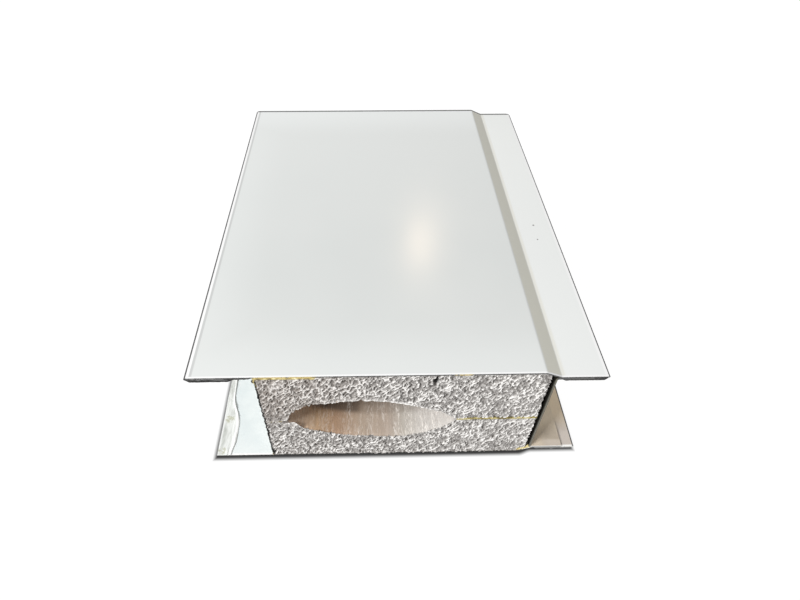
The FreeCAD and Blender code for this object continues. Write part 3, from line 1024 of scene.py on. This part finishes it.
def bottom_paint():
    """White prepainted sheet of the bottom skin; its inner face shows on both lips."""
    coat = Coat("white_paint_bottom")
    low, high = box_mm("bottom_skin")
    cloud = coat.noise(16.0)
    coat.colour = coat.ramp(cloud, (0.35, (0.70, 0.72, 0.71)), (0.65, (0.74, 0.755, 0.745)))
    socket_lip = coat.both(coat.over("x", -47.5, -46.5, 1.0, 0.0), coat.over("z", 0.2, 0.4))
    pale = coat.ramp(coat.noise(70.0), (0.35, (0.725, 0.785, 0.79)),
                     (0.65, (0.80, 0.845, 0.84)))
    coat.cover(socket_lip, pale)
    # Painted shade on the tongue lip, which lies under the top lip: beige, darker near the cut
    # and paler farther in.
    inward = coat.over("y", low[1] + 6.0, low[1] + 16.0)
    tongue_lip_shade = coat.mix(inward, (0.57, 0.520, 0.475), (0.90, 0.785, 0.62))
    coat.cover(coat.over("x", 52.5, 53.5), tongue_lip_shade)
    # Painted highlight along the sawn front edge.
    coat.cover(coat.at_cut(0.6, 0.9), (0.93, 0.93, 0.92))
    # Painted shadow lines along the slit edges.
    side_shadow_lines(coat, low, high, (0.45, 0.60), (0.52, 0.38))
    # Under the foam, the strip along the front edge is dark as painted shade, with pale foam
    # crumbs.
    crumbs_and_shade = coat.ramp(coat.noise(1100.0, 2.0), (0.42, (0.16, 0.15, 0.14)),
                      (0.58, (0.62, 0.59, 0.56)))
    coat.stripe(-48.0, 50.0, 0.3, 1.0, crumbs_and_shade)
    sawn_edge(coat)
    lip_burr = coat.both(coat.over("x", 54.0, 55.0, 0.0, 0.9), coat.at_cut())
    burr_colour = coat.mix(coat.over("x", 64.5, 65.5), (0.27, 0.27, 0.26), (0.60, 0.60, 0.58))
    coat.cover(lip_burr, burr_colour)
    crumbs = coat.both(coat.scaled(coat.noise(620.0, 2.0), 0.56, 0.60),
                       coat.band("x", -16.0, 34.0, 6.0))
    coat.cover(crumbs, (0.74, 0.71, 0.68))
    coat.bump(coat.noise(650.0, 2.0), 0.03, 0.2)
    return coat.finish(coat.scaled(cloud, 0.3, 0.7, 0.24, 0.34))


def foam_material():
    """Grey-white cellular foam: pale cell rims, grey-brown pits darkened as painted shade, a
    duct stained brown with painted shade towards the left and farther in.
    """
    coat = Coat("foam")
    grain = coat.noise(1500.0, 3.0)
    # The pits are darkened as painted shade, near black in the deepest; the cell rims stay
    # pale.
    deep = coat.math("ADD", coat.attribute("pit"), coat.scaled(grain, 0.3, 0.7, -0.12, 0.12))
    coat.colour = coat.ramp(
        deep, (0.02, (0.86, 0.840, 0.815)), (0.16, (0.50, 0.482, 0.462)),
        (0.40, (0.325, 0.310, 0.296)), (0.62, (0.225, 0.210, 0.198)),
        (0.86, (0.090, 0.080, 0.073)))
    brown = coat.both(coat.over("x", -44.0, 4.0, 0.30, 0.0),
                      coat.over("z", 18.0, 32.0, 0.15, 1.0))
    coat.cover(brown, (0.26, 0.20, 0.155))
    sawn = coat.colour
    # The duct's wall, over x: brown stains, darkened towards the left as painted shade, a
    # painted shadow farther in on the left, and pale and dark fibres.
    coat.colour = coat.ramp(
        coat.over("x", -42.0, 22.0), (0.03, (0.66, 0.50, 0.37)), (0.09, (0.58, 0.40, 0.25)),
        (0.22, (0.47, 0.312, 0.205)), (0.44, (0.52, 0.42, 0.33)),
        (0.66, (0.50, 0.415, 0.345)), (0.79, (0.50, 0.465, 0.415)),
        (0.92, (0.55, 0.525, 0.495)))
    inward = coat.over("y", front_cut + 9.0, front_cut + 11.4)
    coat.cover(coat.both(inward, coat.over("x", -15.5, -12.0, 0.85, 0.25)), (0.16, 0.12, 0.09))
    hairs = coat.noise(1900.0, 3.0, 0.6, (1.0, 0.12, 1.0), 2.0)
    wisps = coat.noise(420.0, 2.0, 0.5, (1.0, 0.12, 1.0), 0.8)
    streak = coat.both(coat.scaled(hairs, 0.48, 0.64), coat.scaled(wisps, 0.4, 0.6))
    coat.cover(coat.both(streak, coat.over("x", -22.0, 0.0, 0.50, 0.85)), (0.93, 0.88, 0.82))
    coat.cover(coat.both(coat.scaled(hairs, 0.32, 0.46, 1.0, 0.0), 0.35), (0.22, 0.15, 0.11))
    coat.colour = coat.mix(coat.attribute("duct_wall"), sawn, coat.colour)
    # Near black on the dark stripe down the socket side, and as painted shade in the deep hole.
    coat.cover(coat.attribute("dark_stripe_and_hole_shade"), NEAR_BLACK)
    coat.bump(coat.noise(2600.0, 3.0), 0.4, 0.25)
    return coat.finish(0.82)


def burr_and_shadow_material():
    """Torn dark steel, which also stands in for shadow, with a brighter streak along it."""
    coat = Coat("bare_steel_and_shadow")
    grain = coat.noise(800.0, 2.0, stretch=(1.0, 1.0, 0.3))
    coat.colour = coat.ramp(grain, (0.40, (0.014, 0.014, 0.014)),
                            (0.66, (0.045, 0.044, 0.043)))
    coat.cover(coat.over("z", 2.6, 3.0, 0.85, 0.0), (0.19, 0.19, 0.185))
    patches = coat.scaled(coat.noise(190.0, 1.0), 0.50, 0.56, 0.0, 0.55)
    hem = box_mm("top_skin")[1][2] - HEM_DEPTH
    coat.cover(coat.both(coat.band("z", hem - 0.25, hem, 0.06), patches), (0.36, 0.36, 0.36))
    lip = box_mm("edge_channel")[1][2]
    coat.cover(coat.band("z", lip - 0.95, lip - 0.75, 0.06, 0.4), (0.36, 0.36, 0.35))
    coat.bump(grain, 0.2, 0.1)
    return coat.finish(0.6, Specular_IOR_Level=0.12)


def glue_material():
    """Yellow-brown polyurethane glue with dark specks."""
    coat = Coat("glue")
    blotch = coat.noise(520.0, 3.0)
    coat.colour = coat.ramp(
        blotch, (0.36, (0.15, 0.105, 0.03)), (0.46, (0.44, 0.34, 0.11)),
        (0.56, (0.62, 0.52, 0.22)), (0.68, (0.82, 0.75, 0.45)))
    olive = coat.ramp(blotch, (0.38, (0.14, 0.115, 0.035)), (0.62, (0.50, 0.44, 0.20)))
    coat.cover(coat.band("z", 22.0, 26.0, 0.2, 0.75), olive)
    core_side = box_mm("core_upper")[0][0]
    coat.cover(coat.over("x", core_side - 0.10, core_side + 0.10, 1.0, 0.0), NEAR_BLACK)
    coat.bump(coat.noise(1500.0, 2.0), 0.4, 0.2)
    return coat.finish(0.38)


def channel_material():
    """Thin beige coated steel: dark olive sawn edge, pale burrs, streaks lengthwise, and
    painted shade near the cut, by the core and under the upper lip.
    """
    coat = Coat("channel_steel")
    low, high = box_mm("edge_channel")
    web = low[0] + CHANNEL_GAUGE
    streaks = coat.noise(320.0, 3.0, 0.5, (1.0, 0.04, 1.0))
    coat.colour = coat.ramp(streaks, (0.3, (0.79, 0.695, 0.56)), (0.7, (0.84, 0.76, 0.63)))
    # Painted shade over the first 13 mm behind the cut, darker outward, with paler painted
    # light right at the cut on the outward side.
    outward = coat.over("x", 56.0, 61.0)
    near_cut_shade = coat.mix(outward, (0.62, 0.540, 0.430), (0.42, 0.365, 0.295))
    near_cut_shade = coat.mix(coat.both(coat.at_cut(2.2, 3.4), outward), near_cut_shade,
                        (0.56, 0.500, 0.430))
    coat.cover(coat.at_cut(2.5, 13.0), near_cut_shade)
    mottle = coat.scaled(coat.noise(60.0, 2.0), 0.45, 0.7, 0.0, 0.15)
    coat.cover(mottle, (0.62, 0.54, 0.47))
    # Painted shade: black where the web faces the core, and in the bend under the upper lip.
    bend_shade = coat.both(coat.over("x", web + 0.6, web + 0.9, 1.0, 0.0),
                     coat.over("z", high[2] - 1.2, high[2] - 0.9))
    core_side = coat.over("x", low[0] + 0.02, low[0] + 0.06, 1.0, 0.0)
    coat.cover(coat.either(bend_shade, core_side), (0.010, 0.009, 0.006))
    # The sawn edge: the web with a bright line, and the ends of the two flanges.
    bright_line = coat.band("x", web - 0.42, web - 0.22, 0.05, 0.8)
    edge = coat.mix(bright_line, (0.030, 0.027, 0.015), (0.22, 0.20, 0.14))
    lower = coat.mix(coat.over("z", low[2] + 0.45, low[2] + 0.60), (0.33, 0.33, 0.32),
                     (0.80, 0.79, 0.76))
    upper = coat.mix(coat.band("z", high[2] - 0.45, high[2] - 0.25, 0.06, 0.3),
                     (0.022, 0.022, 0.021), (0.36, 0.36, 0.35))
    flanges = coat.mix(coat.over("z", high[2] - 2.0, high[2] - 1.5), lower, upper)
    edge = coat.mix(coat.over("x", web - 0.03, web + 0.05), edge, flanges)
    coat.cover(coat.at_cut(), edge)
    coat.bump(coat.noise(420.0, 2.0, 0.5, (1.0, 0.1, 1.0)), 0.05, 0.2)
    return coat.finish(0.36)


def film_material():
    """Thin cloudy protective film, stained olive in places, with a painted shadow line along
    its outer edge.
    """
    coat = Coat("film")
    low, _ = box_mm("film_lap")
    cloud = coat.noise(300.0, 3.0, 0.55, (1.0, 0.3, 1.0))
    coat.colour = coat.ramp(cloud, (0.36, (0.46, 0.48, 0.445)), (0.56, (0.78, 0.80, 0.775)))
    coat.cover(coat.attribute("bead"), (0.92, 0.93, 0.92))
    patches = coat.scaled(coat.noise(900.0, 3.0), 0.42, 0.58)
    for x, y, radius in ((-67.3, -73.6, 1.9), (-68.2, -88.1, 1.6)):
        stain = coat.both(coat.spot(x, y, low[2], radius, 0.6), patches)
        coat.cover(stain, (0.38, 0.38, 0.22))
    # Painted shadow line along the film's outer edge.
    coat.cover(coat.over("x", low[0] + 0.25, low[0] + 0.45, 0.8, 0.0), (0.12, 0.12, 0.12))
    coat.bump(cloud, 0.35, 0.4)
    return coat.finish(0.28)


def floor_material():
    """Plain pale floor that glows softly, with a painted contact shadow along the line where
    the panel meets it.
    """
    coat = Coat("studio_floor")
    grey = coat.ramp(coat.noise(3.0, 2.0), (0.3, (0.055, 0.055, 0.055)),
                     (0.7, (0.06, 0.06, 0.06)))
    across, along = (coat.math("ABSOLUTE", coat.axes[axis]) for axis in "xy")
    # The painted contact shadow leaves the front edge where the lower skin steps up.
    lifted = coat.over("x", RAMP_START, RAMP_END, 0.35 * MM, -1.1 * MM)
    before = coat.math("SUBTRACT", coat.math("SUBTRACT", along, cad_high[1]), lifted)
    away = coat.either(coat.math("SUBTRACT", across, cad_high[0]), before)
    clear = coat.scaled(away, CONTACT_FROM, CONTACT_TO)
    # Painted contact shadow: dark and without glow under and just round the panel.
    coat.colour = coat.mix(clear, (0.04, 0.04, 0.04), grey)
    coat.feed(coat.mix(clear, (0.0, 0.0, 0.0), (1.0, 1.0, 1.0)),
              coat.shader.inputs["Emission Color"])
    return coat.finish(0.8, Emission_Strength=0.97)


# ---------------- studio

def make_floor():
    """Large pale floor under the panel."""
    half = 6.0 / MM
    points = [(-half, -half, 0), (half, -half, 0), (half, half, 0), (-half, half, 0)]
    floor = mesh_object("floor", points, [(0, 1, 2, 3)])
    floor.location.z = cad_low[2] - FLOOR_GAP
    floor.data.materials.append(floor_material())


def area_light(name, place, target, size, power, colour=(1, 1, 1), size_y=None):
    """Area light that faces a target point."""
    light = bpy.data.lights.new(name, "AREA")
    light.shape = "RECTANGLE" if size_y else "SQUARE"
    light.size = size
    if size_y:
        light.size_y = size_y
    light.energy = power
    light.color = colour
    item = bpy.data.objects.new(name, light)
    item.location = place
    aim = Vector(target) - Vector(place)
    item.rotation_euler = aim.to_track_quat("-Z", "Y").to_euler()
    bpy.context.scene.collection.objects.link(item)


def make_lights():
    """Soft key from the left, broad fill, and the small warm lamp seen in the paint."""
    area_light("key", place=(-0.95, -0.75, 1.0), target=(0, 0, 0.03), size=0.5, power=25.0)
    area_light("lamp", place=(0.10, 0.66, 0.63), target=(0.013, -0.024, 0.05), size=0.045,
               power=0.135, colour=(1.0, 0.74, 0.50), size_y=0.095)
    world = bpy.data.worlds.new("studio")
    world.use_nodes = True
    background = world.node_tree.nodes["Background"]
    background.inputs["Color"].default_value = (1.0, 1.0, 1.0, 1.0)
    background.inputs["Strength"].default_value = 0.36
    bpy.context.scene.world = world


def make_camera():
    """Camera in front of the sawn end, looking down on it."""
    camera = bpy.data.cameras.new("camera")
    camera.lens, camera.sensor_width = LENS, SENSOR
    camera.clip_start = 0.01
    camera.shift_x, camera.shift_y = SHIFT_X, SHIFT_Y
    item = bpy.data.objects.new("camera", camera)
    pitch, yaw, roll = (math.radians(a) for a in CAMERA_TURN)
    forward = Vector((math.sin(yaw) * math.cos(pitch), math.cos(yaw) * math.cos(pitch),
                      -math.sin(pitch)))
    right = Vector((math.cos(yaw), -math.sin(yaw), 0))
    up = right.cross(forward)
    tilted_right = math.cos(roll) * right + math.sin(roll) * up
    tilted_up = math.cos(roll) * up - math.sin(roll) * right
    turn = Matrix((tilted_right, tilted_up, -forward)).transposed()
    item.matrix_world = Matrix.Translation(CAMERA_PLACE) @ turn.to_4x4()
    bpy.context.scene.collection.objects.link(item)
    bpy.context.scene.camera = item
    bpy.context.scene.view_settings.view_transform = "Standard"


# ---------------- assembly

def dress_cad_nodes():
    """Materials of the CAD nodes that keep their own shape."""
    finishes = {"top_skin": top_paint(), "bottom_skin": bottom_paint(),
                "edge_channel": channel_material()}
    for name, material in finishes.items():
        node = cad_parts[name]
        if not node.material_slots:
            node.data.materials.append(material)
        for slot in node.material_slots:
            slot.material = material


def main():
    dress_cad_nodes()
    foam = foam_material()
    make_board("foam_upper", Board("core_upper", True, 3), foam, "core_upper")
    make_board("foam_lower", Board("core_lower", False, 17), foam, "core_lower")
    make_glue(glue_material())
    make_film(film_material())
    make_burrs_and_shadows(burr_and_shadow_material())
    make_floor()
    make_lights()
    make_camera()


main()
